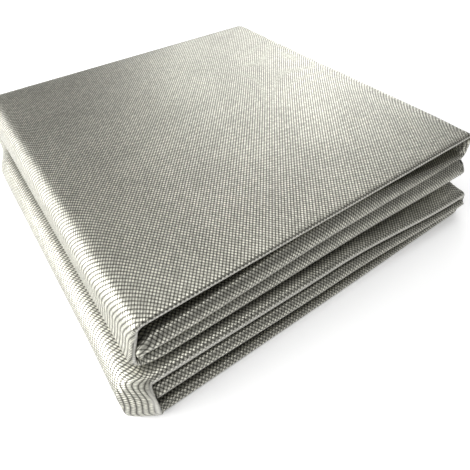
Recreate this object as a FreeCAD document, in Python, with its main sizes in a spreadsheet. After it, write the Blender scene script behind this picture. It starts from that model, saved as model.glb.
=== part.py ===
"""Folded fire blanket: one cloth, folded in half four times and lying flat.

The cloth is divided at its creases.  Eight doubled panels lie on each other, four in the
upper half and four in the lower half.  Half-round folds join the panels at the left, at the
right and at the back, and each upper panel ends in its own fold at the front.  The upper half
opens about the back fold like the cover of a book.

Frame: +X to the right, +Y to the back, +Z up, origin on the ground under the middle.
Every size is in millimetres and comes from the sheet called Sizes.
"""
import FreeCAD, Part
import math
import os
import Sketcher

DRIVING_SIZES = {
    "cloth_height": 5.2,      # a doubled layer of cloth with the air between its two plies
    "layer_gap": 2.1,         # air between two doubled layers
    "panel_width": 222.0,     # flat width of the lower panels, left fold to right fold
    "panel_depth": 231.0,     # upper panels, front crease to the start of the back fold
    "upper_inset": 10.0,      # how far the upper half's left end stands in
    "free_overhang": 4.0,     # how far the cloth's free side edges pass the flat panels' right end
    "lower_forward": 10.0,    # how far the lower half stands out in front
    "fold_run": 1.0,          # short straight run from a panel's end into its fold
}

PITCH = "(Sizes.cloth_height + Sizes.layer_gap)"
SIDE_RADIUS = f"((3 * {PITCH} + Sizes.cloth_height) / 2)"
SMALL_RADIUS = f"(({PITCH} + Sizes.cloth_height) / 2)"
BACK_RADIUS = f"((7 * {PITCH} + Sizes.cloth_height) / 2)"
NOSE_RADIUS = "(Sizes.cloth_height / 2)"

WIDTH_OVER_ALL = f"({SIDE_RADIUS} + {SMALL_RADIUS} + Sizes.panel_width + 2 * Sizes.fold_run)"
DEPTH_OVER_ALL = f"(Sizes.lower_forward + Sizes.panel_depth + Sizes.fold_run + {BACK_RADIUS})"

LOWER_LEFT = f"(Sizes.fold_run + {SIDE_RADIUS} - {WIDTH_OVER_ALL} / 2)"
UPPER_LEFT = f"({LOWER_LEFT} + Sizes.upper_inset)"
RIGHT_END = f"({LOWER_LEFT} + Sizes.panel_width)"
LOWER_FRONT = f"(-{DEPTH_OVER_ALL} / 2)"
UPPER_FRONT = f"({LOWER_FRONT} + Sizes.lower_forward)"
BACK_END = f"({UPPER_FRONT} + Sizes.panel_depth)"

PANELS_FROM_BELOW = ("bottom_panel", "third_panel", "second_panel", "top_panel")
BACK_FOLDS = ("outer", "second", "third", "inner")
HALF_TURN = FreeCAD.Rotation(FreeCAD.Vector(0, 0, 1), 180)
NO_TURN = FreeCAD.Rotation()
CENTRE_POINT = 3
START_POINT = 1
END_POINT = 2
ROOT_POINT = (-1, 1)
VERTICAL_AXIS = -2


def make_sheet(doc):
    """Write the driving sizes into the spreadsheet, one named cell each."""
    sheet = doc.addObject("Spreadsheet::Sheet", "Sizes")
    for row, (alias, value) in enumerate(DRIVING_SIZES.items(), start=1):
        sheet.set(f"A{row}", alias)
        sheet.set(f"B{row}", str(value))
        sheet.setAlias(f"B{row}", alias)
    doc.recompute()
    return sheet


def origin_plane(body, role):
    """Return one of the body's own origin planes, such as XY_Plane."""
    for feature in body.Origin.OriginFeatures:
        if feature.Role == role:
            return feature
    raise RuntimeError(f"{body.Name} has no {role}")


def start_body(doc, name, role):
    """Make a body with one empty sketch on the origin plane of that role."""
    body = doc.addObject("PartDesign::Body", name)
    body.Label = name
    sketch = body.newObject("Sketcher::SketchObject", f"{name}_outline")
    sketch.AttachmentSupport = [(origin_plane(body, role), "")]
    sketch.MapMode = "FlatFace"
    return body, sketch


def pad(body, sketch, length, backwards=False):
    """Give the sketch a thickness, whose length is an expression of the sheet."""
    feature = body.newObject("PartDesign::Pad", f"{body.Name}_pad")
    feature.Profile = sketch
    feature.setExpression("Length", length)
    feature.Reversed = backwards
    sketch.Visibility = False
    return feature


def place(body, x, y, z, turn):
    """Put the body at a place given by three expressions of the sheet."""
    body.Placement = FreeCAD.Placement(FreeCAD.Vector(0, 0, 0), turn)
    body.setExpression("Placement.Base.x", x)
    body.setExpression("Placement.Base.y", y)
    body.setExpression("Placement.Base.z", z)


def draw_line(sketch, first, last):
    """Draw a straight line between two points and return its index."""
    segment = Part.LineSegment(FreeCAD.Vector(*first, 0), FreeCAD.Vector(*last, 0))
    return sketch.addGeometry(segment, False)


def join(sketch, first, first_end, second, second_end):
    """Make two ends of two curves meet."""
    sketch.addConstraint(Sketcher.Constraint("Coincident", first, first_end, second, second_end))


def panel(doc, name, left, front, layer, width, depth):
    """Make one doubled panel, a flat plate of cloth lying in the given layer."""
    body, sketch = start_body(doc, name, "XY_Plane")
    corners = [(0, 0), (200, 0), (200, 200), (0, 200)]
    sides = [draw_line(sketch, corners[i], corners[(i + 1) % 4]) for i in range(4)]
    for i in range(4):
        join(sketch, sides[i], END_POINT, sides[(i + 1) % 4], START_POINT)
        direction = "Horizontal" if i % 2 == 0 else "Vertical"
        sketch.addConstraint(Sketcher.Constraint(direction, sides[i]))
    sketch.addConstraint(Sketcher.Constraint("Coincident", sides[0], START_POINT, *ROOT_POINT))
    wide = sketch.addConstraint(
        Sketcher.Constraint("DistanceX", sides[0], START_POINT, sides[0], END_POINT, 200.0))
    deep = sketch.addConstraint(
        Sketcher.Constraint("DistanceY", sides[1], START_POINT, sides[1], END_POINT, 200.0))
    sketch.setExpression(f"Constraints[{wide}]", width)
    sketch.setExpression(f"Constraints[{deep}]", depth)
    pad(body, sketch, "Sizes.cloth_height")
    place(body, left, front, f"{layer} * {PITCH}", NO_TURN)
    return body


def half_circle(sketch, radius, size):
    """Draw a half circle about the sketch's origin, bulging to the right, and bind its radius."""
    circle = Part.Circle(FreeCAD.Vector(0, 0, 0), FreeCAD.Vector(0, 0, 1), size)
    arc = sketch.addGeometry(Part.ArcOfCircle(circle, -math.pi / 2, math.pi / 2), False)
    sketch.addConstraint(Sketcher.Constraint("Coincident", arc, CENTRE_POINT, *ROOT_POINT))
    sketch.addConstraint(Sketcher.Constraint("PointOnObject", arc, START_POINT, VERTICAL_AXIS))
    sketch.addConstraint(Sketcher.Constraint("PointOnObject", arc, END_POINT, VERTICAL_AXIS))
    bound = sketch.addConstraint(Sketcher.Constraint("Radius", arc, size))
    sketch.setExpression(f"Constraints[{bound}]", radius)
    return arc


def run_into(sketch, arc, arc_end, height, name):
    """Draw the short straight run that leads into one end of an arc."""
    line = draw_line(sketch, (-1.0, height), (0.0, height))
    join(sketch, line, END_POINT, arc, arc_end)
    sketch.addConstraint(Sketcher.Constraint("Horizontal", line))
    bound = sketch.addConstraint(
        Sketcher.Constraint("DistanceX", line, START_POINT, line, END_POINT, 1.0))
    sketch.renameConstraint(bound, name)
    sketch.setExpression(f"Constraints.{name}", "Sizes.fold_run")
    return line


def close_end(sketch, outer_run, inner_run, outer_height, inner_height):
    """Close the cloth's section between the starts of an outer and an inner run."""
    cap = draw_line(sketch, (-1.0, outer_height), (-1.0, inner_height))
    join(sketch, cap, START_POINT, outer_run, START_POINT)
    join(sketch, cap, END_POINT, inner_run, START_POINT)


def fold_section(sketch, radius, outer):
    """Draw the U-shaped section of a fold: two half circles and four short runs."""
    inner = outer - DRIVING_SIZES["cloth_height"]
    outer_arc = half_circle(sketch, radius, outer)
    inner_arc = half_circle(sketch, f"{radius} - Sizes.cloth_height", inner)
    for side, arc_end, word in ((-1, START_POINT, "low"), (1, END_POINT, "high")):
        outer_run = run_into(sketch, outer_arc, arc_end, side * outer, f"outer_{word}")
        inner_run = run_into(sketch, inner_arc, arc_end, side * inner, f"inner_{word}")
        close_end(sketch, outer_run, inner_run, side * outer, side * inner)


def side_fold(doc, name, x, layer_middle, radius, outer, to_left, front, length):
    """Make a fold that runs from front to back along a side of the blanket."""
    body, sketch = start_body(doc, name, "XZ_Plane")
    fold_section(sketch, radius, outer)
    pad(body, sketch, length, backwards=True)
    middle = f"{layer_middle} * {PITCH} + Sizes.cloth_height / 2"
    if to_left:
        place(body, f"{x} - Sizes.fold_run", f"{front} + {length}", middle, HALF_TURN)
    else:
        place(body, f"{x} + Sizes.fold_run", front, middle, NO_TURN)
    return body


def back_fold(doc, name, step):
    """Make one of the nested folds that join the two halves at the back."""
    body, sketch = start_body(doc, name, "YZ_Plane")
    radius = f"({BACK_RADIUS} - {step} * {PITCH})"
    pitch = DRIVING_SIZES["cloth_height"] + DRIVING_SIZES["layer_gap"]
    outer = (7 * pitch + DRIVING_SIZES["cloth_height"]) / 2 - step * pitch
    fold_section(sketch, radius, outer)
    pad(body, sketch, "Sizes.panel_width - Sizes.upper_inset")
    place(body, UPPER_LEFT, f"{BACK_END} + Sizes.fold_run", BACK_RADIUS, NO_TURN)
    return body


def front_fold(doc, name, layer, width):
    """Make the half-round crease at the front of an upper panel."""
    body, sketch = start_body(doc, name, "YZ_Plane")
    radius = DRIVING_SIZES["cloth_height"] / 2
    arc = half_circle(sketch, NOSE_RADIUS, radius)
    flat = draw_line(sketch, (0.0, radius), (0.0, -radius))
    join(sketch, flat, START_POINT, arc, END_POINT)
    join(sketch, flat, END_POINT, arc, START_POINT)
    pad(body, sketch, width)
    middle = f"{layer} * {PITCH} + {NOSE_RADIUS}"
    place(body, f"{UPPER_LEFT} + {width}", f"{UPPER_FRONT} + {NOSE_RADIUS}", middle, HALF_TURN)
    return body


def lower_half(doc):
    """Make the lower half: four panels and the folds at its sides."""
    depth = "(Sizes.panel_depth + Sizes.lower_forward)"
    bodies = []
    for layer, word in enumerate(PANELS_FROM_BELOW):
        free = " + Sizes.free_overhang" if layer >= 2 else ""
        width = f"(Sizes.panel_width{free})"
        bodies.append(panel(doc, f"lower_{word}", LOWER_LEFT, LOWER_FRONT, layer, width, depth))
    bodies += side_folds(doc, "lower", 0, LOWER_LEFT, 0.5, LOWER_FRONT, depth)
    return bodies


def upper_half(doc):
    """Make the upper half: four panels, their front creases and the folds at the sides."""
    depth = f"(Sizes.panel_depth - {NOSE_RADIUS})"
    front = f"({UPPER_FRONT} + {NOSE_RADIUS})"
    bodies = []
    for step, word in enumerate(PANELS_FROM_BELOW):
        layer = 4 + step
        free = " + Sizes.free_overhang" if step < 2 else ""
        width = f"(Sizes.panel_width - Sizes.upper_inset{free})"
        bodies.append(panel(doc, f"upper_{word}", UPPER_LEFT, front, layer, width, depth))
        bodies.append(front_fold(doc, f"upper_{word}_front_fold", layer, width))
    bodies += side_folds(doc, "upper", 4, UPPER_LEFT, 6.5, front, depth)
    return bodies


def side_folds(doc, half, first_layer, left, right_middle, front, depth):
    """Make a half's three side folds: outer and inner at the left, one at the right."""
    pitch = DRIVING_SIZES["cloth_height"] + DRIVING_SIZES["layer_gap"]
    wide = (3 * pitch + DRIVING_SIZES["cloth_height"]) / 2
    small = (pitch + DRIVING_SIZES["cloth_height"]) / 2
    middle = first_layer + 1.5
    return [
        side_fold(doc, f"{half}_outer_left_fold", left, middle, SIDE_RADIUS, wide,
                  True, front, depth),
        side_fold(doc, f"{half}_inner_left_fold", left, middle, SMALL_RADIUS, small,
                  True, front, depth),
        side_fold(doc, f"{half}_right_fold", RIGHT_END, right_middle, SMALL_RADIUS, small,
                  False, front, depth),
    ]


def check_document(doc, bodies):
    """Stop if any object failed to compute or any sub-part has no valid solid."""
    for item in doc.Objects:
        if "Invalid" in item.State or "Error" in item.State:
            raise RuntimeError(f"{item.Name} failed: {item.State}")
    for body in bodies:
        if body.Shape.isNull() or not body.Shape.isValid() or len(body.Shape.Solids) != 1:
            raise RuntimeError(f"{body.Label} has no single valid solid")


def write_steps(bodies):
    """Write each sub-part to its own STEP file, named after its label."""
    os.makedirs("parts", exist_ok=True)
    for body in bodies:
        body.Shape.exportStep(f"parts/{body.Label}.step")


def main():
    """Build the folded blanket and write its sub-parts."""
    doc = FreeCAD.newDocument("folded_fire_blanket")
    make_sheet(doc)
    bodies = lower_half(doc) + upper_half(doc)
    for step, word in enumerate(BACK_FOLDS):
        bodies.append(back_fold(doc, f"{word}_back_fold", step))
    doc.recompute()
    check_document(doc, bodies)
    write_steps(bodies)
    for body in bodies:
        box = body.Shape.BoundBox
        print(f"{body.Label}: x {box.XMin:.2f}..{box.XMax:.2f}, y {box.YMin:.2f}..{box.YMax:.2f}, "
              f"z {box.ZMin:.2f}..{box.ZMax:.2f}, volume {body.Shape.Volume:.0f}")


main()
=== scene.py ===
"""A folded fire blanket of silver metallised cloth, lying flat on a pale studio floor.

The blanket is one square of woven cloth, folded in half four times.  It is built here as one
continuous doubled sheet: a strip section of four runs, carried along a hairpin path from
the lower half's front edge, round the back fold, to the upper half's front crease and back.
All lengths are in metres.
"""

import logging
import math
from dataclasses import dataclass, field
from enum import Enum

import bpy
import numpy as np
from mathutils import Matrix, Vector


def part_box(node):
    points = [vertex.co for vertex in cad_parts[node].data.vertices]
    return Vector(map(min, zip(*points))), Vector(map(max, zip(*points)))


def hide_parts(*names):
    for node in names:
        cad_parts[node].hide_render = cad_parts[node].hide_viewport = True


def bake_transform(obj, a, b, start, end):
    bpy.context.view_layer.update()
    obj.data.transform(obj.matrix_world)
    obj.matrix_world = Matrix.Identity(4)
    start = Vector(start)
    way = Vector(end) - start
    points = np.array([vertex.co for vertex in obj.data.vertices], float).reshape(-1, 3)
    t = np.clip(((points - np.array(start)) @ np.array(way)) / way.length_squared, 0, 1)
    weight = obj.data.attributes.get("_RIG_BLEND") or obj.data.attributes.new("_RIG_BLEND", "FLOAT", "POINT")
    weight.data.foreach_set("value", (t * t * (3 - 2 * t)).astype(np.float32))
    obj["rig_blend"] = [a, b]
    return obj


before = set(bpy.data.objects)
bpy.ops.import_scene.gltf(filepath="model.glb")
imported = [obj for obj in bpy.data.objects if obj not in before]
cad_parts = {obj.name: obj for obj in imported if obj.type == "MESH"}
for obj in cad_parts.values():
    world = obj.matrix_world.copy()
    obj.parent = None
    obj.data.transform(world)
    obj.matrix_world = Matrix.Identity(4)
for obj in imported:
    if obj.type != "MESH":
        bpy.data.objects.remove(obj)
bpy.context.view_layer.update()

LOG = logging.getLogger("fire_blanket")
Socket = bpy.types.NodeSocket
MM = 0.001


class Half(Enum):
    """The two halves of the folded blanket."""

    LOWER = "lower"
    UPPER = "upper"


class Place(Enum):
    """Where along a half the side folds take a shape of their own."""

    FRONT = "front"
    MIDDLE = "middle"
    BACK = "back"


def smoothstep(value: np.ndarray) -> np.ndarray:
    """Ease from 0 to 1.

    Args:
        value: numbers to ease; below 0 counts as 0 and above 1 as 1.

    Returns:
        The eased numbers.
    """
    share = np.clip(value, 0.0, 1.0)
    return share * share * (3.0 - 2.0 * share)


def spread(count: int, start_pull: float, end_pull: float) -> np.ndarray:
    """Space numbers from 0 to 1, closer together near the ends that are pulled.

    Args:
        count: how many steps.
        start_pull: 0 for even steps near the start, up to 1 for the closest.
        end_pull: the same near the end.

    Returns:
        count + 1 rising numbers from 0 to 1.
    """
    even = np.linspace(0.0, 1.0, count + 1)
    weight = 1.0 - start_pull * (1.0 - even) ** 3 - end_pull * even ** 3
    total = np.concatenate([[0.0], np.cumsum(0.5 * (weight[1:] + weight[:-1]))])
    return total / total[-1]


def place_object(name: str, data: bpy.types.ID) -> bpy.types.Object:
    """Make an object and link it to the scene.

    Args:
        name: the object's name.
        data: its mesh, light or camera.

    Returns:
        The object.
    """
    made = bpy.data.objects.new(name, data)
    bpy.context.scene.collection.objects.link(made)
    return made


# ---- the sizes


@dataclass(frozen=True)
class FoldSizes:
    """Where the folded cloth lies, read from the CAD frame's nodes.

    The panels end at back_end, right and free_right, and each half's own left and front.  A
    doubled layer is layer thick, and the next one starts a pitch higher.
    """

    mid_height: float
    back_end: float
    pitch: float
    layer: float
    first_height: float
    left: dict
    right: float
    free_right: float
    front: dict

    @classmethod
    def from_frame(cls) -> "FoldSizes":
        """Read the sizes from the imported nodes.

        Returns:
            The sizes of this blanket.
        """
        bottom_low, bottom_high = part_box("lower_bottom_panel")
        third_low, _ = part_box("lower_third_panel")
        top_low, top_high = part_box("lower_top_panel")
        above_low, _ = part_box("upper_bottom_panel")
        upper_low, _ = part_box("upper_top_panel_front_fold")
        return cls(
            mid_height=(top_high.z + above_low.z) / 2,
            back_end=bottom_high.y,
            pitch=third_low.z - bottom_low.z,
            layer=bottom_high.z - bottom_low.z,
            first_height=(bottom_low.z + bottom_high.z) / 2,
            left={Half.LOWER: bottom_low.x, Half.UPPER: above_low.x},
            right=bottom_high.x,
            free_right=top_high.x,
            front={Half.LOWER: bottom_low.y, Half.UPPER: upper_low.y},
        )

    def layer_middle(self, index: int) -> float:
        """Return the height of the middle of layer index, 0 at the bottom."""
        return self.first_height + index * self.pitch


@dataclass(frozen=True)
class Lip:
    """How one place of a front edge lies, in millimetres.

    Attributes:
        forward: how far it stands out in front of its half's CAD edge.
        lift: how far its layer is raised there, or lowered if negative.
        thickness: how far its two plies stand apart there.
    """

    forward: float
    lift: float
    thickness: float


@dataclass(frozen=True)
class HalfLips:
    """The front edges of one half, in the order in which the cloth strip passes them.

    The third run starts at the strip's first free edge, at the right.  Each run has three lips,
    one at each end and one in the middle, and each fold between two runs has one.
    """

    third: tuple
    inner_fold: tuple
    second: tuple
    right_fold: tuple
    top: tuple
    outer_fold: tuple
    last: tuple

    def along(self, knots: np.ndarray) -> tuple:
        """Ease from lip to lip along the strip.

        Args:
            knots: places along the strip, where each whole number is a run's end.

        Returns:
            The forward, lift and thickness arrays, in metres.
        """
        lips = [lip for name in self.__dataclass_fields__ for lip in getattr(self, name)]
        place = knots * 2.0
        low = np.clip(np.floor(place), 0, len(lips) - 2)
        eased = low + smoothstep(place - low)
        rows = ([lip.forward for lip in lips], [lip.lift for lip in lips],
                [lip.thickness for lip in lips])
        return tuple(np.interp(eased, np.arange(len(lips)), row) * MM for row in rows)


UPPER_LIPS = HalfLips(
    third=(Lip(-10, 0, 3), Lip(-10, -1, 3), Lip(-7, -4.5, 3)),
    inner_fold=(Lip(2, -5.5, 3.2),),
    second=(Lip(3, -6, 7), Lip(2, -3.6, 10), Lip(0, -6.2, 3.8)),
    right_fold=(Lip(0, -2.6, 3),),
    top=(Lip(0, 0.3, 1.8),) * 3,
    outer_fold=(Lip(-0.5, 0, 2.4),),
    last=(Lip(3, 0.8, 4.6), Lip(3.5, 0.5, 9.5), Lip(5.5, 0, 10)),
)
LOWER_LIPS = HalfLips(
    third=(Lip(4, -3.5, 4.5), Lip(1, -3, 8), Lip(0, -1.5, 7)),
    inner_fold=(Lip(-1, 0, 4.2),),
    second=(Lip(-2.5, -0.5, 4), Lip(-2.5, -0.5, 4), Lip(-2, -0.5, 4)),
    right_fold=(Lip(-1, 0, 3.8),),
    top=(Lip(0.5, 0, 4.2), Lip(1, 0, 4.6), Lip(1, 0, 5)),
    outer_fold=(Lip(4, 0, 9),),
    last=(Lip(-2.5, 0, 5), Lip(-1.5, -0.3, 5), Lip(2.5, -5, 5)),
)


@dataclass(frozen=True)
class FoldShape:
    """The outline of a side fold, in millimetres: its bulge and its two corners.

    Attributes:
        bulge: how far the fold stands out past its runs.
        start_radius: the radius of its corner at the start run.
        end_radius: the radius of its corner at the end run.
        start_lean: how much less it stands out at the start corner than at the end corner.
        corner_points: how many points a corner's arc has.
    """

    bulge: float
    start_radius: float
    end_radius: float
    start_lean: float = 0.0
    corner_points: int = 24

    def outline(self, half_height: float, steps: int) -> np.ndarray:
        """Walk round the fold at an even pace.

        Args:
            half_height: half the height between the two runs that the fold joins.
            steps: how many steps.

        Returns:
            Points as distance outwards and height, from the start run to the end run.
        """
        bulge = self.bulge * MM
        first = min(self.start_radius * MM, bulge, half_height)
        second = min(self.end_radius * MM, bulge, half_height)
        turn = np.linspace(0.0, math.pi / 2, self.corner_points)
        near = bulge - self.start_lean * MM
        out = np.concatenate([[0.0], near - first + first * np.sin(turn),
                              bulge - second + second * np.cos(turn), [0.0]])
        up = np.concatenate([[half_height], half_height - first + first * np.cos(turn),
                             second - half_height - second * np.sin(turn), [-half_height]])
        length = np.concatenate([[0.0], np.cumsum(np.hypot(np.diff(out), np.diff(up)))])
        even = np.linspace(0.0, length[-1], steps + 1)
        return np.stack([np.interp(even, length, out), np.interp(even, length, up)], axis=1)


@dataclass(frozen=True)
class SideFolds:
    """The three side folds of one half."""

    inner: FoldShape
    right: FoldShape
    outer: FoldShape


UPPER_MIDDLE = SideFolds(
    inner=FoldShape(8.6, 3.0, 3.0),
    right=FoldShape(3.2, 1.6, 2.0),
    outer=FoldShape(12.2, 8.0, 3.2, start_lean=1.6),
)
UPPER_FRONT = SideFolds(
    inner=FoldShape(9.4, 3.0, 3.0),
    right=FoldShape(2.6, 1.2, 1.6),
    outer=FoldShape(12.2, 2.6, 3.0, start_lean=5.4),
)
LOWER_MIDDLE = SideFolds(
    inner=FoldShape(3.6, 3.0, 3.0),
    right=FoldShape(3.6, 2.2, 2.2),
    outer=FoldShape(12.3, 9.0, 9.0),
)
LOWER_FRONT = SideFolds(
    inner=FoldShape(0.8, 0.8, 0.8),
    right=FoldShape(3.0, 2.0, 2.0),
    outer=FoldShape(12.8, 5.0, 9.0),
)
LOWER_BACK = SideFolds(
    inner=FoldShape(2.0, 2.0, 2.0),
    right=FoldShape(3.6, 2.2, 2.2),
    outer=FoldShape(4.0, 4.0, 4.0),
)
SIDE_FOLDS = {
    Half.UPPER: {Place.FRONT: UPPER_FRONT, Place.MIDDLE: UPPER_MIDDLE, Place.BACK: UPPER_MIDDLE},
    Half.LOWER: {Place.FRONT: LOWER_FRONT, Place.MIDDLE: LOWER_MIDDLE, Place.BACK: LOWER_BACK},
}


# ---- the strip's section


@dataclass
class StripSection:
    """The section of one half's cloth strip, in the x-z plane, from free edge to free edge.

    The strip starts at the third layer's free edge at the right, turns at the inner left fold,
    the right fold and the outer left fold, and ends at the free edge next to the other half.
    That last edge curls.  A knot is a point's place along the strip, where each whole number is
    a run's end, and free_inset is how far the free edges stand in from the right.
    """

    sizes: FoldSizes
    half: Half
    place: Place
    run_steps: int = 44
    small_fold_steps: int = 12
    wide_fold_steps: int = 22
    curl_steps: int = 8
    curl_radius: float = 2.6 * MM
    curl_turn: float = math.radians(150)
    free_inset: float = 0.0
    points: list = field(default_factory=list)
    knots: list = field(default_factory=list)

    def build(self) -> "StripSection":
        """Walk along the strip and note each point with its place between the run ends.

        Returns:
            This section, with its points.
        """
        upper = self.half is Half.UPPER
        folds = SIDE_FOLDS[self.half][self.place]
        far, step = (7, -1) if upper else (0, 1)
        top, second, third, last = [self.sizes.layer_middle(far + i * step) for i in range(4)]
        left, right = self.sizes.left[self.half], self.sizes.right
        free = self.sizes.free_right - self.free_inset
        self._run((free, third), (left, third), 0)
        self._turn(left, third, second, -1.0, folds.inner, self.small_fold_steps, 1)
        self._run((left, second), (right, second), 2)
        self._turn(right, second, top, 1.0, folds.right, self.small_fold_steps, 3)
        self._run((right, top), (left, top), 4)
        self._turn(left, top, last, -1.0, folds.outer, self.wide_fold_steps, 5)
        self._run((left, last), (free - self.curl_radius, last), 6)
        self._curl((free - self.curl_radius, last), 1.0 if upper else -1.0)
        return self

    def _add(self, x: float, z: float, knot: float) -> None:
        """Note one point unless it repeats the last one.

        Args:
            x: its place across the blanket.
            z: its height.
            knot: its place along the strip.
        """
        if self.points and math.dist(self.points[-1], (x, z)) < 1e-7:
            return
        self.points.append((x, z))
        self.knots.append(knot)

    def _run(self, start: tuple, end: tuple, knot: int) -> None:
        """Add a flat run of cloth between two folds.

        Args:
            start: the run's first point, as x and z.
            end: its last point.
            knot: the run end that it starts from.
        """
        for share in spread(self.run_steps, 0.75, 0.75):
            x = start[0] + (end[0] - start[0]) * share
            z = start[1] + (end[1] - start[1]) * share
            self._add(x, z, knot + share)

    def _turn(self, x: float, start_z: float, end_z: float, side: float, shape: FoldShape,
              steps: int, knot: int) -> None:
        """Add a fold between two runs.

        Args:
            x: where the runs end.
            start_z: the height of the run that leads into the fold.
            end_z: the height of the run that leads out of it.
            side: 1 when it bulges to the right, -1 to the left.
            shape: the fold's outline.
            steps: how many steps.
            knot: the run end that the fold starts from.
        """
        middle, half_height = (start_z + end_z) / 2, abs(start_z - end_z) / 2
        rise = 1.0 if start_z > end_z else -1.0
        for i, (out, up) in enumerate(shape.outline(half_height, steps)):
            self._add(x + side * out, middle + rise * up, knot + i / steps)

    def _curl(self, start: tuple, sign: float) -> None:
        """Roll the last free edge towards its own layer, as a turned hem does.

        Args:
            start: where the roll starts, as x and z.
            sign: 1 to roll upwards, -1 to roll downwards.
        """
        for i in range(self.curl_steps + 1):
            turn = self.curl_turn * i / self.curl_steps
            x = start[0] + self.curl_radius * math.sin(turn)
            z = start[1] + sign * self.curl_radius * (1.0 - math.cos(turn))
            self._add(x, z, 7.0)

    def arrays(self) -> tuple:
        """Turn the section into arrays.

        Returns:
            The points, their outward normals and their knots.
        """
        points = np.array(self.points)
        tangent = np.gradient(points, axis=0)
        tangent /= np.linalg.norm(tangent, axis=1)[:, None]
        sign = 1.0 if self.half is Half.UPPER else -1.0
        normals = sign * np.stack([tangent[:, 1], -tangent[:, 0]], axis=1)
        return points, normals, np.array(self.knots)


# ---- the hairpin path


@dataclass(frozen=True)
class Station:
    """One row of the cloth along its hairpin path.

    Attributes:
        half: 0 in the lower half, 1 in the upper, between them round the back fold.
        back: share of the way from the front lip to the back fold.
        turn: angle about the back fold in radians, 0 in the lower half and pi in the upper.
        nose: angle round a front lip, from 0 on the outer ply to pi on the inner one.
        ply: 1 on the outer ply, -1 on the inner one.
        tuck: how far a turned hem or a tucked edge stands back from the lip, in metres.
        hem: 1 where the row belongs to the lower half's turned hem.
    """

    half: float
    back: float
    turn: float
    nose: float
    ply: float
    tuck: float = 0.0
    hem: float = 0.0


@dataclass
class HairpinPath:
    """The cloth's path from the lower front hem, over the back and the upper lip, and back.

    Each count of steps is a number of rows; the inner ply's edge is tucked in by tucked_edge.
    """

    panel_steps: int = 34
    back_fold_steps: int = 22
    lip_steps: int = 10
    hem_steps: int = 5
    hem_depth: float = 9.0 * MM
    tucked_edge: float = 3.0 * MM
    stations: list = field(default_factory=list)

    def build(self) -> "HairpinPath":
        """Lay out the rows in order.

        Returns:
            This path, with its rows.
        """
        self._hem()
        self._panel(0.0, 1.0, True, 0.0)
        self._back_fold(1.0, True)
        self._panel(1.0, 1.0, False, 0.0)
        self._lip()
        self._panel(1.0, -1.0, True, 0.0)
        self._back_fold(-1.0, False)
        self._panel(0.0, -1.0, False, self.tucked_edge)
        return self

    def _hem(self) -> None:
        """Turn the outer ply's front edge under in the lower half."""
        for i in range(self.hem_steps):
            tuck = self.hem_depth * (1.0 - i / self.hem_steps)
            self.stations.append(Station(0.0, 0.0, 0.0, math.pi, 1.0, tuck, 1.0))
        for i in range(self.lip_steps):
            angle = math.pi * (1.0 - i / self.lip_steps)
            self.stations.append(Station(0.0, 0.0, 0.0, angle, 1.0, 0.0, 1.0))

    def _panel(self, half: float, ply: float, rearwards: bool, tuck: float) -> None:
        """Add a flat stretch between a front lip and the back fold.

        Args:
            half: 0 in the lower half, 1 in the upper.
            ply: 1 on the outer ply, -1 on the inner one.
            rearwards: whether the path goes towards the back fold.
            tuck: how far its front end stands back from the lip.
        """
        shares = spread(self.panel_steps, 0.9, 0.3)
        if not rearwards:
            shares = shares[::-1]
        for share in shares:
            held = tuck * (1.0 - share)
            nose = 0.0 if ply > 0 else math.pi
            turn = math.pi * half
            self.stations.append(Station(half, float(share), turn, nose, ply, held))

    def _back_fold(self, ply: float, upwards: bool) -> None:
        """Carry the cloth round the back fold.

        Args:
            ply: 1 on the outer ply, -1 on the inner one.
            upwards: whether the path goes up to the upper half.
        """
        for i in range(1, self.back_fold_steps):
            share = i / self.back_fold_steps
            share = share if upwards else 1.0 - share
            half = (1.0 - math.cos(math.pi * share)) / 2
            nose = 0.0 if ply > 0 else math.pi
            self.stations.append(Station(half, 1.0, math.pi * share, nose, ply))

    def _lip(self) -> None:
        """Turn round the front crease of the upper half."""
        for i in range(1, self.lip_steps):
            self.stations.append(Station(1.0, 0.0, math.pi, math.pi * i / self.lip_steps, 1.0))


# ---- the cloth


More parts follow.
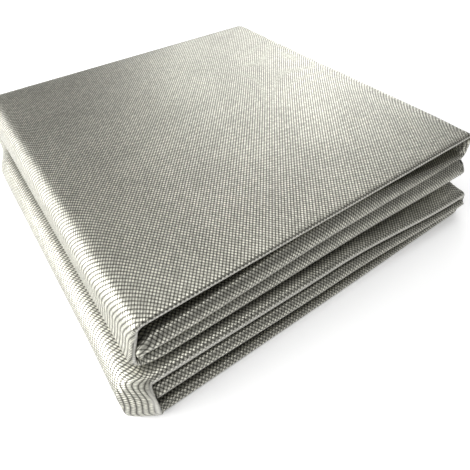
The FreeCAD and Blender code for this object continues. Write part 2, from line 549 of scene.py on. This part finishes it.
@dataclass
class FoldedCloth:
    """The whole blanket as one continuous sheet of cloth.

    Attributes:
        cloth_thickness: thickness of one ply.
        ply_gap: distance between the two plies of a layer, away from the lips.
        lip_reach: how far back a lip's swelling reaches.
        lip_lift_reach: how far back its lift reaches.
        nose_reach: the furthest that a lip stands out.
        nose_slope: how far it stands out for its thickness.
        nose_point: how pointed it is; 1 is round.
        crease_level: where a crease hangs, 0 at its outer ply and 1 at its inner one.
        crease_droop: how much is added where the cloth faces up.
        crease_wrap: how much is added where it faces left.
        crease_limits: least and most of the sum.
        highlight_place: how far round a lip the painted crease highlight is strongest.
        highlight_width: how wide the painted highlight line is.
        front_reach: how far back the side folds ease out of their front shape.
        back_reach: how far they ease into their back shape.
        closed: how far the outer fold is drawn in at the front, lower then upper half.
        closed_reach: how far out that reaches.
        free_insets: how far the free edges stand in from the right, lower then upper half.
        hem_share: the turned hem's thickness as a share of a lip's.
        back_squash: depth of the back fold as a share of half a circle's.
        ripple: height of the slight ripples.
        ripple_count: how many waves make them up.
        ripple_rates: slowest and fastest wave, in radians for each metre.
        ripple_phases: least and most shift of a wave, in radians.
        ease_columns: how many columns lengths are evened over.
        seed: seed of the ripples.
        edges: for each row of binding loops, its edge's points and their turns.
    """

    sizes: FoldSizes
    cloth_thickness: float = 0.45 * MM
    ply_gap: float = 4.3 * MM
    lip_reach: float = 14.0 * MM
    lip_lift_reach: float = 26.0 * MM
    nose_reach: float = 8.0 * MM
    nose_slope: float = 0.6
    nose_point: float = 1.2
    crease_level: float = 0.55
    crease_droop: float = 0.3
    crease_wrap: float = 0.35
    crease_limits: tuple = (0.12, 0.92)
    highlight_place: float = 0.43
    highlight_width: float = 0.07
    front_reach: float = 40.0 * MM
    back_reach: float = 34.0 * MM
    closed: tuple = (0.85, 0.0)
    closed_reach: float = 17.0 * MM
    free_insets: tuple = (6.0 * MM, 3.5 * MM)
    hem_share: float = 0.75
    back_squash: float = 0.94
    ripple: float = 0.35 * MM
    ripple_count: int = 6
    ripple_rates: tuple = (8, 30)
    ripple_phases: tuple = (0, 6.28)
    ease_columns: int = 13
    seed: int = 7
    edges: dict = field(default_factory=dict)

    def __post_init__(self) -> None:
        """Lay out the section, the path and the random ripples."""
        self.sections = {
            half: {place: StripSection(self.sizes, half, place, free_inset=inset).build().arrays()
                   for place in Place}
            for half, inset in zip(Half, self.free_insets)}
        self.path = HairpinPath().build().stations
        draw = np.random.default_rng(self.seed)
        ranges = (self.ripple_rates,) * 2 + (self.ripple_phases,) * 2
        self.waves = [tuple(draw.uniform(*ends) for ends in ranges)
                      for _ in range(self.ripple_count)]

    def _half_row(self, half: Half, station: Station) -> tuple:
        """Place one row of the cloth in one half.

        Args:
            half: which half.
            station: the row.

        Returns:
            The row's x, y and z arrays.
        """
        knots = self.sections[half][Place.MIDDLE][2]
        lips = UPPER_LIPS if half is Half.UPPER else LOWER_LIPS
        forward, lift, thickness = lips.along(knots)
        front = self.sizes.front[half] - forward
        behind = (self.sizes.back_end - front) * station.back
        ahead = self.sizes.back_end - front - behind
        points, normals = self._section(half, behind, ahead)
        swell = 1.0 - smoothstep(behind / self.lip_reach)
        gap = self.ply_gap + (thickness - self.ply_gap) * swell
        wrapped = gap * (self.hem_share if station.hem else 1.0)
        bow, level = self._nose(station.nose, normals)
        offset = self.ply_gap / 2 - (wrapped * level if station.ply > 0 else gap)
        settle = 1.0 - smoothstep(behind / self.lip_lift_reach)
        x = points[:, 0] + normals[:, 0] * offset
        z = points[:, 1] + normals[:, 1] * offset + lift * settle
        reach = np.minimum(wrapped * self.nose_slope, self.nose_reach)
        closed = self.closed[half is Half.UPPER]
        bulge = np.minimum(0.0, x - self.sizes.left[half])
        closing = closed * smoothstep(-bulge / self.closed_reach)
        height = np.clip(z / self.sizes.mid_height, 0.0, 1.0)
        reach = reach + (self.closed_reach * (0.5 + 0.5 * height) - reach) * closing
        if station.back > 0.0:
            return x, front + behind + station.tuck + reach * (1.0 - station.back), z
        return x - closed * bow * bulge, front + station.tuck + reach * (1.0 - bow), z

    def _section(self, half: Half, behind: np.ndarray, ahead: np.ndarray) -> tuple:
        """Blend the half's three sections.

        Args:
            half: which half.
            behind: how far each column is behind the front lip.
            ahead: how far each column is ahead of the back fold.

        Returns:
            The points and their outward normals.
        """
        sections = self.sections[half]
        near = 1.0 - smoothstep(behind / self.front_reach)[:, None]
        far = 1.0 - smoothstep(ahead / self.back_reach)[:, None]
        return tuple(sections[Place.MIDDLE][i] * (1.0 - near - far)
                     + sections[Place.FRONT][i] * near + sections[Place.BACK][i] * far
                     for i in (0, 1))

    def _nose(self, angle: float, normals: np.ndarray) -> tuple:
        """Shape a front lip, whose crease hangs towards its lower ply.

        Args:
            angle: the angle round the lip, from 0 on the outer ply to pi on the inner one.
            normals: the outward normals of the section.

        Returns:
            How far forward the row stands, from 0 to 1, and how far each point has gone from
            the outer ply to the inner one, from 0 to 1.
        """
        crease = (self.crease_level + self.crease_droop * normals[:, 1]
                  + self.crease_wrap * np.maximum(0.0, -normals[:, 0]))
        crease = np.clip(crease, *self.crease_limits)
        bow = math.sin(angle) ** self.nose_point
        rest = 1.0 - abs(math.cos(angle)) ** self.nose_point
        if angle <= math.pi / 2:
            return bow, crease * rest
        return bow, 1.0 - (1.0 - crease) * rest

    def _ripples(self, x: np.ndarray, y: np.ndarray) -> np.ndarray:
        """Find the height of the cloth's slight ripples.

        Args:
            x: each place across the blanket.
            y: each place along it.

        Returns:
            The height at each place.
        """
        total = np.zeros_like(x)
        for along, across, first, second in self.waves:
            total += np.sin(x * along + first) * np.sin(y * across + second)
        return total * self.ripple / len(self.waves)

    def rows(self) -> tuple:
        """Place every point of the cloth.

        Returns:
            The points as rows by columns by three, and each row's turn about the back fold.
        """
        grid, turns = [], []
        mid, back = self.sizes.mid_height, self.sizes.back_end
        for station in self.path:
            low = self._half_row(Half.LOWER, station)
            high = self._half_row(Half.UPPER, station)
            if station.half <= 0.0:
                x, y, z = low
            elif station.half >= 1.0:
                x, y, z = high
            else:
                share = station.half
                x = (1 - share) * low[0] + share * high[0]
                radius = (1 - share) * (mid - low[2]) + share * (high[2] - mid)
                y = back + radius * math.sin(station.turn) * self.back_squash
                z = mid - radius * math.cos(station.turn)
            z = z + self._ripples(x, y) * math.cos(station.turn) ** 2
            grid.append(np.stack([x, y, z], axis=1))
            turns.append(station.turn)
        return np.array(grid), np.array(turns)

    def crease_highlight_rows(self) -> np.ndarray:
        """Return each row's share of the painted crease highlight, 1 just above the foremost line of a lip.
        """
        # Mask of the painted highlight along each lip's crease, where the crease catches the light.
        places = np.array([station.nose / math.pi if station.back <= 0.0 else 0.0
                           for station in self.path])
        return np.exp(-((places - self.highlight_place) / self.highlight_width) ** 2)

    def flat_lengths(self, grid: np.ndarray) -> tuple:
        """Measure the cloth along its weave.

        The weft is laid straight round the outer back fold, and runs true from there.

        Args:
            grid: the placed points.

        Returns:
            The distance of each column across the strip, and of each point along the path.
        """
        row = grid[len(grid) // 3]
        across = np.concatenate([[0.0], np.cumsum(np.linalg.norm(np.diff(row, axis=0), axis=1))])
        along = np.zeros(grid.shape[:2])
        along[1:] = np.cumsum(np.linalg.norm(np.diff(grid, axis=0), axis=2), axis=0)
        straight = next(i for i, station in enumerate(self.path) if station.half >= 0.5)
        along += along[straight].mean() - along[straight]
        share = np.full(self.ease_columns, 1.0 / self.ease_columns)
        padded = np.pad(along, ((0, 0), (self.ease_columns // 2,) * 2), mode="edge")
        eased = [np.convolve(line, share, mode="valid") for line in padded]
        return across, np.array(eased)

    def build(self, finish: bpy.types.Material) -> bpy.types.Object:
        """Make the cloth's mesh.

        Args:
            finish: the cloth's material.

        Returns:
            The cloth, with its weave coordinates and its bending weights.
        """
        grid, turns = self.rows()
        across, along = self.flat_lengths(grid)
        rows, columns = grid.shape[:2]
        corner = (np.arange(rows - 1)[:, None] * columns + np.arange(columns - 1)).ravel()
        faces = np.stack([corner, corner + columns, corner + columns + 1, corner + 1], axis=1)
        mesh = bpy.data.meshes.new("blanket_cloth")
        mesh.from_pydata(grid.reshape(-1, 3).tolist(), [], faces.tolist())
        layer = mesh.uv_layers.new(name="weave")
        loops = np.empty(len(mesh.loops), np.int32)
        mesh.loops.foreach_get("vertex_index", loops)
        uv = np.stack([across[loops % columns], along.ravel()[loops]], axis=1)
        layer.data.foreach_set("uv", uv.astype(np.float32).ravel())
        mesh.polygons.foreach_set("use_smooth", np.ones(len(mesh.polygons), bool))
        # The crease attribute carries the painted highlight mask to the material.
        crease = mesh.attributes.new("crease", "FLOAT", "POINT")
        crease.data.foreach_set("value", np.repeat(self.crease_highlight_rows(), columns).astype(np.float32))
        mesh.materials.append(finish)
        cloth = place_object("blanket_cloth", mesh)
        wall = cloth.modifiers.new("cloth_thickness", "SOLIDIFY")
        wall.thickness = self.cloth_thickness
        wall.offset = 0.0
        self.hang(cloth, np.repeat(turns / math.pi, columns))
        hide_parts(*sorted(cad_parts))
        self.edges = {"third_edge_loops": (grid[:, 0], turns),
                      "last_edge_loops": (grid[:, -1], turns)}
        LOG.info("blanket_cloth: %d by %d points, %.3f m by %.3f m along the weave",
                 rows, columns, across[-1], along[-1].mean() - along[0].mean())
        return cloth

    def hang(self, piece: bpy.types.Object, weights: np.ndarray) -> None:
        """Give a piece to both bodies, bending evenly round the back fold.

        Args:
            piece: the cloth, or a row of stitches on it.
            weights: each point's share of the upper half's motion.
        """
        low = (0.0, self.sizes.back_end, self.sizes.mid_height - self.sizes.layer)
        high = (0.0, self.sizes.back_end, self.sizes.mid_height + self.sizes.layer)
        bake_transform(piece, "lower_half", "upper_half", start=low, end=high)
        bend = piece.data.attributes["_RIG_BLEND"]
        bend.data.foreach_set("value", weights.astype(np.float32))


# ---- the overcast edges


@dataclass(frozen=True)
class OvercastEdge:
    """A row of yarn loops that binds a free side edge of the cloth, made by Geometry Nodes.

    Attributes:
        pitch: distance between loops.
        loop_radius: radius of a loop round the edge.
        yarn_radius: radius of its yarn.
        loop_sides: corners of a loop.
        yarn_sides: corners of its yarn's section.
        slant: how far a loop may lean, in radians.
        seed: seed of the leans.
    """

    pitch: float = 2.4 * MM
    loop_radius: float = 0.62 * MM
    yarn_radius: float = 0.13 * MM
    loop_sides: int = 8
    yarn_sides: int = 4
    slant: float = 0.35
    seed: int = 11

    def build(self, name: str, path: np.ndarray, turns: np.ndarray, cloth: FoldedCloth,
              finish: bpy.types.Material) -> bpy.types.Object:
        """Make the loops along one edge and bend them with the cloth.

        Args:
            name: the piece's name.
            path: the edge's points.
            turns: each point's turn about the back fold.
            cloth: the cloth that the loops bend with.
            finish: the yarn's material.

        Returns:
            The row of loops, as one plain mesh.
        """
        guide_mesh = bpy.data.meshes.new(name + "_guide")
        links = [(i, i + 1) for i in range(len(path) - 1)]
        guide_mesh.from_pydata(path.tolist(), links, [])
        guide = place_object(name + "_guide", guide_mesh)
        tree = self._tree()
        loops = guide.modifiers.new("loops", "NODES")
        loops.node_group = tree
        values = {"Pitch": self.pitch, "Loop Radius": self.loop_radius,
                  "Yarn Radius": self.yarn_radius, "Slant": self.slant, "Seed": self.seed,
                  "Material": finish}
        for item in tree.interface.items_tree:
            if item.item_type == "SOCKET" and item.in_out == "INPUT" and item.name in values:
                loops[item.identifier] = values[item.name]
        depsgraph = bpy.context.evaluated_depsgraph_get()
        mesh = bpy.data.meshes.new_from_object(guide.evaluated_get(depsgraph))
        mesh.name = name
        bpy.data.objects.remove(guide)
        piece = place_object(name, mesh)
        cloth.hang(piece, self._weights(mesh, path, turns / math.pi))
        LOG.info("%s: %d faces", name, len(mesh.polygons))
        return piece

    def _weights(self, mesh: bpy.types.Mesh, path: np.ndarray, shares: np.ndarray) -> np.ndarray:
        """Give each point of the loops the bend of the nearest place on the edge.

        Args:
            mesh: the loops.
            path: the edge's points.
            shares: each edge point's share of the upper half's motion.

        Returns:
            Each loop point's share.
        """
        points = np.empty(len(mesh.vertices) * 3)
        mesh.vertices.foreach_get("co", points)
        points = points.reshape(-1, 3)
        best = np.full(len(points), np.inf)
        weights = np.zeros(len(points))
        for start, end, low, high in zip(path[:-1], path[1:], shares[:-1], shares[1:]):
            step = end - start
            along = np.clip((points - start) @ step / max(step @ step, 1e-12), 0.0, 1.0)
            gap = np.linalg.norm(points - start - along[:, None] * step, axis=1)
            nearer = gap < best
            best[nearer] = gap[nearer]
            weights[nearer] = (low + (high - low) * along)[nearer]
        return weights

    def _tree(self) -> bpy.types.NodeTree:
        """Build the node tree: loops at even steps along a path, each leaning a little.

        Returns:
            The tree, whose inputs are set by name.
        """
        tree = bpy.data.node_groups.new("overcast_edge", "GeometryNodeTree")
        sockets = (("Geometry", "Geometry"), ("Pitch", "Float"), ("Loop Radius", "Float"),
                   ("Yarn Radius", "Float"), ("Slant", "Float"), ("Seed", "Int"),
                   ("Material", "Material"))
        for label, kind in sockets:
            tree.interface.new_socket(name=label, in_out="INPUT",
                                      socket_type="NodeSocket" + kind)
        tree.interface.new_socket(name="Geometry", in_out="OUTPUT",
                                  socket_type="NodeSocketGeometry")
        kinds = {
            "entry": "NodeGroupInput", "leave": "NodeGroupOutput",
            "curve": "GeometryNodeMeshToCurve", "even": "GeometryNodeResampleCurve",
            "ring": "GeometryNodeCurvePrimitiveCircle",
            "yarn": "GeometryNodeCurvePrimitiveCircle", "loop": "GeometryNodeCurveToMesh",
            "tangent": "GeometryNodeInputTangent",
            "facing": "FunctionNodeAlignRotationToVector", "lean": "FunctionNodeRandomValue",
            "least": "ShaderNodeMath", "turn": "FunctionNodeEulerToRotation",
            "leaning": "FunctionNodeRotateRotation", "place": "GeometryNodeInstanceOnPoints",
            "real": "GeometryNodeRealizeInstances", "smooth": "GeometryNodeSetShadeSmooth",
            "paint": "GeometryNodeSetMaterial",
        }
        nodes = {name: tree.nodes.new(kind) for name, kind in kinds.items()}
        nodes["even"].mode = "LENGTH"
        nodes["facing"].axis = "Z"
        nodes["lean"].data_type = "FLOAT_VECTOR"
        nodes["least"].operation = "MULTIPLY"
        nodes["leaning"].rotation_space = "LOCAL"
        nodes["ring"].inputs["Resolution"].default_value = self.loop_sides
        nodes["yarn"].inputs["Resolution"].default_value = self.yarn_sides
        nodes["least"].inputs[1].default_value = -1.0
        joins = (
            ("entry", "Geometry", "curve", "Mesh"), ("curve", "Curve", "even", "Curve"),
            ("entry", "Pitch", "even", "Length"), ("entry", "Loop Radius", "ring", "Radius"),
            ("entry", "Yarn Radius", "yarn", "Radius"), ("ring", "Curve", "loop", "Curve"),
            ("yarn", "Curve", "loop", "Profile Curve"),
            ("tangent", "Tangent", "facing", "Vector"), ("entry", "Slant", "least", 0),
            ("least", 0, "lean", 0), ("entry", "Slant", "lean", 1),
            ("entry", "Seed", "lean", "Seed"), ("lean", 0, "turn", 0),
            ("facing", "Rotation", "leaning", "Rotation"),
            ("turn", "Rotation", "leaning", "Rotate By"), ("even", "Curve", "place", "Points"),
            ("loop", "Mesh", "place", "Instance"),
            ("leaning", "Rotation", "place", "Rotation"),
            ("place", "Instances", "real", "Geometry"),
            ("real", "Geometry", "smooth", "Geometry"),
            ("smooth", "Geometry", "paint", "Geometry"),
            ("entry", "Material", "paint", "Material"), ("paint", "Geometry", "leave", "Geometry"),
        )
        for source, out, target, into in joins:
            tree.links.new(nodes[source].outputs[out], nodes[target].inputs[into])
        return tree


# ---- the finishes


class NodeTree:
    """A short way to write shader nodes."""

    def __init__(self, material: bpy.types.Material) -> None:
        """Start from an empty tree with an output and a principled shader."""
        material.use_nodes = True
        self.tree = material.node_tree
        self.tree.nodes.clear()
        self.shader = self.add("ShaderNodeBsdfPrincipled")
        output = self.add("ShaderNodeOutputMaterial")
        self.link(self.shader.outputs["BSDF"], output.inputs["Surface"])

    def add(self, kind: str) -> bpy.types.Node:
        """Add a node of that kind."""
        return self.tree.nodes.new(kind)

    def link(self, source: Socket, target: Socket) -> None:
        """Join two sockets."""
        self.tree.links.new(source, target)

    def math(self, operation: str, first: object, second: object = None) -> Socket:
        """Add a math node.

        Args:
            operation: the math operation's name.
            first: a socket or a number.
            second: a socket or a number, or None.

        Returns:
            The node's result.
        """
        node = self.add("ShaderNodeMath")
        node.operation = operation
        for slot, value in zip(node.inputs, (first, second)):
            if isinstance(value, Socket):
                self.link(value, slot)
            elif value is not None:
                slot.default_value = value
        return node.outputs[0]

    def mix(self, factor: Socket, first: object, second: object) -> Socket:
        """Mix two colours.

        Args:
            factor: 0 for the first colour, 1 for the second.
            first: a socket, or red, green and blue.
            second: the same.

        Returns:
            The mixed colour.
        """
        node = self.add("ShaderNodeMix")
        node.data_type = "RGBA"
        self.link(factor, node.inputs[0])
        for slot, value in ((node.inputs[6], first), (node.inputs[7], second)):
            if isinstance(value, Socket):
                self.link(value, slot)
            else:
                slot.default_value = (*value, 1.0)
        return node.outputs[2]

    def scale(self, colour: Socket, factor: Socket) -> Socket:
        """Multiply a colour by a factor and return the product."""
        node = self.add("ShaderNodeVectorMath")
        node.operation = "SCALE"
        self.link(colour, node.inputs[0])
        self.link(factor, node.inputs["Scale"])
        return node.outputs[0]

    def noise(self, vector: Socket, scale: float, detail: float = 2.0) -> Socket:
        """Add a noise texture.

        Args:
            vector: where it is read.
            scale: how fine it is.
            detail: how many finer layers it has.

        Returns:
            Its value.
        """
        node = self.add("ShaderNodeTexNoise")
        node.inputs["Scale"].default_value = scale
        node.inputs["Detail"].default_value = detail
        self.link(vector, node.inputs["Vector"])
        return node.outputs["Fac"]

    def ramp(self, value: Socket, low: float, high: float, out_low: float,
             out_high: float) -> Socket:
        """Map a value from one range to another, easing and clamping at both ends.

        Args:
            value: the value.
            low: where its range starts.
            high: where its range ends.
            out_low: the result at low.
            out_high: the result at high.

        Returns:
            The result.
        """
        node = self.add("ShaderNodeMapRange")
        node.interpolation_type = "SMOOTHSTEP"
        for slot, number in zip(node.inputs[1:5], (low, high, out_low, out_high)):
            slot.default_value = number
        self.link(value, node.inputs[0])
        return node.outputs[0]


@dataclass(frozen=True)
class MetallisedWeave:
    """Plain weave of flat metallised yarns: bright floats, duller crossings, dark gaps.

    Attributes:
        warp_pitch: distance between yarns across the strip.
        weft_pitch: distance between yarns along the path.
        float_tone: colour of the yarns that lie on top.
        gap_tone: colour between the yarns.
        highlight_tone: pale colour painted along a crease as a highlight.
        metallic: how metallic the film is.
        roughness: roughness of the floats.
        gap_roughness: how much rougher the gaps are.
        fullness: how far the yarns fill their cells; smaller is fuller.
        relief: height of the floats.
        bump: strength of the relief.
        roundness: how flat-topped the floats are; smaller is flatter.
        yarn_change: how much the brightness changes from crossing to crossing.
        wear_noise: scale and detail of the dull patches.
        wear_range: noise where they are full and gone, then the brightness there.
        crease_highlight_share: how far a crease shows the painted highlight tone.
        highlight_metallic: how metallic a crease is under the full painted highlight.
    """

    warp_pitch: float = 0.99 * MM
    weft_pitch: float = 1.22 * MM
    float_tone: tuple = (0.95, 0.94, 0.82)
    gap_tone: tuple = (0.04, 0.037, 0.03)
    highlight_tone: tuple = (0.80, 0.79, 0.74)
    metallic: float = 0.88
    roughness: float = 0.36
    gap_roughness: float = 0.16
    fullness: float = 0.85
    relief: float = 0.2 * MM
    bump: float = 0.7
    roundness: float = 0.5
    yarn_change: float = 0.3
    wear_noise: tuple = (28.0, 4.0)
    wear_range: tuple = (0.35, 0.7, 0.9, 1.0)
    crease_highlight_share: float = 0.8
    highlight_metallic: float = 0.25

    def material(self) -> bpy.types.Material:
        """Make the material, whose pattern follows the cloth's own weave coordinates."""
        made = bpy.data.materials.new("metallised_weave")
        nodes = NodeTree(made)
        coordinates = nodes.add("ShaderNodeUVMap")
        coordinates.uv_map = "weave"
        split = nodes.add("ShaderNodeSeparateXYZ")
        nodes.link(coordinates.outputs["UV"], split.inputs[0])
        across = nodes.math("DIVIDE", split.outputs["X"], self.warp_pitch)
        along = nodes.math("DIVIDE", split.outputs["Y"], self.weft_pitch)
        across_yarn, along_yarn = nodes.math("FLOOR", across), nodes.math("FLOOR", along)
        forth = nodes.math("MULTIPLY", nodes.math("ADD", across, along), 0.5)
        back = nodes.math("MULTIPLY", nodes.math("SUBTRACT", across, along), 0.5)
        forth = nodes.math("ADD", forth, 0.5)
        lozenge = nodes.math("MULTIPLY", self._rounded(nodes, forth), self._rounded(nodes, back))
        change = nodes.ramp(self._cell_value(nodes, across_yarn, along_yarn), 0.0, 1.0,
                            1.0 - self.yarn_change, 1.0)
        patches = nodes.noise(coordinates.outputs["UV"], *self.wear_noise)
        wear = nodes.ramp(patches, *self.wear_range)
        shown = nodes.math("POWER", lozenge, self.fullness)
        colour = nodes.mix(shown, self.gap_tone, self.float_tone)
        colour = nodes.scale(colour, nodes.math("MULTIPLY", change, wear))
        # Painted highlight along each lip's crease: a pale, less metallic, smoother line standing in for the
        # light the crease catches.
        crease = nodes.add("ShaderNodeAttribute")
        crease.attribute_name = "crease"
        painted_highlight = nodes.math("MULTIPLY", crease.outputs["Fac"], self.crease_highlight_share)
        colour = nodes.mix(painted_highlight, colour, self.highlight_tone)
        nodes.link(colour, nodes.shader.inputs["Base Color"])
        film = nodes.ramp(painted_highlight, 0.0, 1.0, self.metallic, self.highlight_metallic)
        nodes.link(film, nodes.shader.inputs["Metallic"])
        rough = nodes.ramp(shown, 0.0, 1.0,
                           self.roughness + self.gap_roughness, self.roughness)
        nodes.link(rough, nodes.shader.inputs["Roughness"])
        height = nodes.math("MULTIPLY", nodes.math("POWER", lozenge, self.roundness),
                            nodes.math("SUBTRACT", 1.0, painted_highlight))
        bump = nodes.add("ShaderNodeBump")
        bump.inputs["Distance"].default_value = self.relief
        bump.inputs["Strength"].default_value = self.bump
        nodes.link(height, bump.inputs["Height"])
        nodes.link(bump.outputs["Normal"], nodes.shader.inputs["Normal"])
        return made

    def _rounded(self, nodes: NodeTree, place: Socket) -> Socket:
        """Return 0 at the edges of whole places and 1 half way between them."""
        return nodes.math("ABSOLUTE", nodes.math("SINE", nodes.math("MULTIPLY", place, math.pi)))

    def _cell_value(self, nodes: NodeTree, across_yarn: Socket, along_yarn: Socket) -> Socket:
        """Find an even random value for each crossing.

        Args:
            nodes: the tree.
            across_yarn: the number of the yarn across the strip.
            along_yarn: the number of the yarn along the path.

        Returns:
            The value, from 0 to 1.
        """
        cell = nodes.add("ShaderNodeCombineXYZ")
        nodes.link(across_yarn, cell.inputs[0])
        nodes.link(along_yarn, cell.inputs[1])
        white = nodes.add("ShaderNodeTexWhiteNoise")
        white.noise_dimensions = "3D"
        nodes.link(cell.outputs[0], white.inputs["Vector"])
        return white.outputs["Value"]


@dataclass(frozen=True)
class BindingYarn:
    """The grey glass yarn that binds the free side edges."""

    light: tuple = (0.52, 0.51, 0.48)
    dark: tuple = (0.30, 0.29, 0.27)
    roughness: float = 0.6
    metallic: float = 0.3
    grain: float = 1400.0

    def material(self) -> bpy.types.Material:
        """Make the material, slightly uneven along the yarn."""
        made = bpy.data.materials.new("binding_yarn")
        nodes = NodeTree(made)
        place = nodes.add("ShaderNodeTexCoord")
        uneven = nodes.noise(place.outputs["Object"], self.grain)
        nodes.link(nodes.mix(uneven, self.dark, self.light), nodes.shader.inputs["Base Color"])
        nodes.shader.inputs["Roughness"].default_value = self.roughness
        nodes.shader.inputs["Metallic"].default_value = self.metallic
        return made


# ---- the studio


@dataclass(frozen=True)
class StudioCamera:
    """A camera close above the near left corner of the blanket.

    It looks along forward, with right to the right, from corner_to_eye past that corner.
    """

    corner_to_eye: tuple = (-0.0110, -0.0920, 0.1351)
    forward: tuple = (0.3885, 0.5788, -0.7171)
    right: tuple = (0.8138, -0.5805, -0.0277)
    lens: float = 31.1
    nearest: float = 0.01

    def build(self, corner: Vector) -> bpy.types.Object:
        """Make the camera and look through it.

        Args:
            corner: the blanket's near left corner, at the height of its top.

        Returns:
            The camera.
        """
        data = bpy.data.cameras.new("studio_camera")
        data.lens = self.lens
        data.clip_start = self.nearest
        camera = place_object("studio_camera", data)
        ahead = Vector(self.forward).normalized()
        right = Vector(self.right)
        right = (right - ahead * right.dot(ahead)).normalized()
        up = right.cross(ahead)
        turn = Matrix((right, up, -ahead)).transposed().to_4x4()
        camera.matrix_world = Matrix.Translation(corner + Vector(self.corner_to_eye)) @ turn
        bpy.context.scene.camera = camera
        return camera


@dataclass(frozen=True)
class SoftLight:
    """A rectangular soft box, with its place, the point it faces, its size and its watts."""

    name: str
    place: tuple
    size: tuple
    power: float
    aim: tuple = (0.0, 0.0, 0.03)

    def build(self) -> None:
        """Hang the light and aim it."""
        data = bpy.data.lights.new(self.name, "AREA")
        data.shape = "RECTANGLE"
        data.size, data.size_y = self.size
        data.energy = self.power
        lamp = place_object(self.name, data)
        lamp.location = self.place
        look = Vector(self.aim) - Vector(self.place)
        lamp.rotation_euler = look.to_track_quat("-Z", "Y").to_euler()


@dataclass(frozen=True)
class Studio:
    """The plain pale floor, the soft lights and the even grey of the room."""

    floor_size: float = 30.0
    floor_tone: tuple = (0.93, 0.93, 0.93)
    floor_roughness: float = 0.9
    floor_glow: float = 0.22
    room_light: float = 0.22
    lights: tuple = (
        SoftLight("left_low_box", (-0.95, 0.15, 0.3), (0.9, 0.5), 12.0),
        SoftLight("left_back_box", (-0.9, 0.9, 0.5), (0.8, 0.6), 7.0),
        SoftLight("back_right_box", (0.85, 1.12, 0.6), (0.8, 0.6), 5.0),
        SoftLight("right_low_box", (1.2, 0.75, 0.3), (0.6, 0.4), 5.0),
        SoftLight("high_box", (-0.3, 0.0, 2.2), (2.4, 2.4), 36.0, aim=(0.0, 0.0, 0.0)),
    )

    def build(self) -> None:
        """Lay the floor, light the room and hang the lamps."""
        self._lay_floor()
        world = bpy.data.worlds.new("studio_room")
        world.use_nodes = True
        background = world.node_tree.nodes["Background"]
        background.inputs["Color"].default_value = (1.0, 1.0, 1.0, 1.0)
        background.inputs["Strength"].default_value = self.room_light
        bpy.context.scene.world = world
        bpy.context.scene.view_settings.view_transform = "Standard"
        for light in self.lights:
            light.build()

    def _lay_floor(self) -> None:
        """Lay a plain floor, which takes the blanket's shadow and sends no diffuse light back."""
        mesh = bpy.data.meshes.new("studio_floor")
        reach = self.floor_size / 2
        corners = [(-reach, -reach, 0), (reach, -reach, 0), (reach, reach, 0), (-reach, reach, 0)]
        mesh.from_pydata(corners, [], [(0, 1, 2, 3)])
        floor = place_object("studio_floor", mesh)
        tone = bpy.data.materials.new("floor_tone")
        nodes = NodeTree(tone)
        nodes.shader.inputs["Base Color"].default_value = (*self.floor_tone, 1.0)
        nodes.shader.inputs["Roughness"].default_value = self.floor_roughness
        nodes.shader.inputs["Emission Color"].default_value = (1.0, 1.0, 1.0, 1.0)
        nodes.shader.inputs["Emission Strength"].default_value = self.floor_glow
        mesh.materials.append(tone)
        floor.visible_diffuse = False


def main() -> None:
    """Build the blanket, then the studio round it."""
    logging.basicConfig(level=logging.INFO)
    sizes = FoldSizes.from_frame()
    folded = FoldedCloth(sizes)
    cloth = folded.build(MetallisedWeave().material())
    yarn = BindingYarn().material()
    loops = [OvercastEdge().build(name, path, turns, folded, yarn)
             for name, (path, turns) in folded.edges.items()]
    Studio().build()
    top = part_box("upper_top_panel")[1].z
    StudioCamera().build(Vector((sizes.left[Half.LOWER], sizes.front[Half.UPPER], top)))


if __name__ == "__main__":
    main()
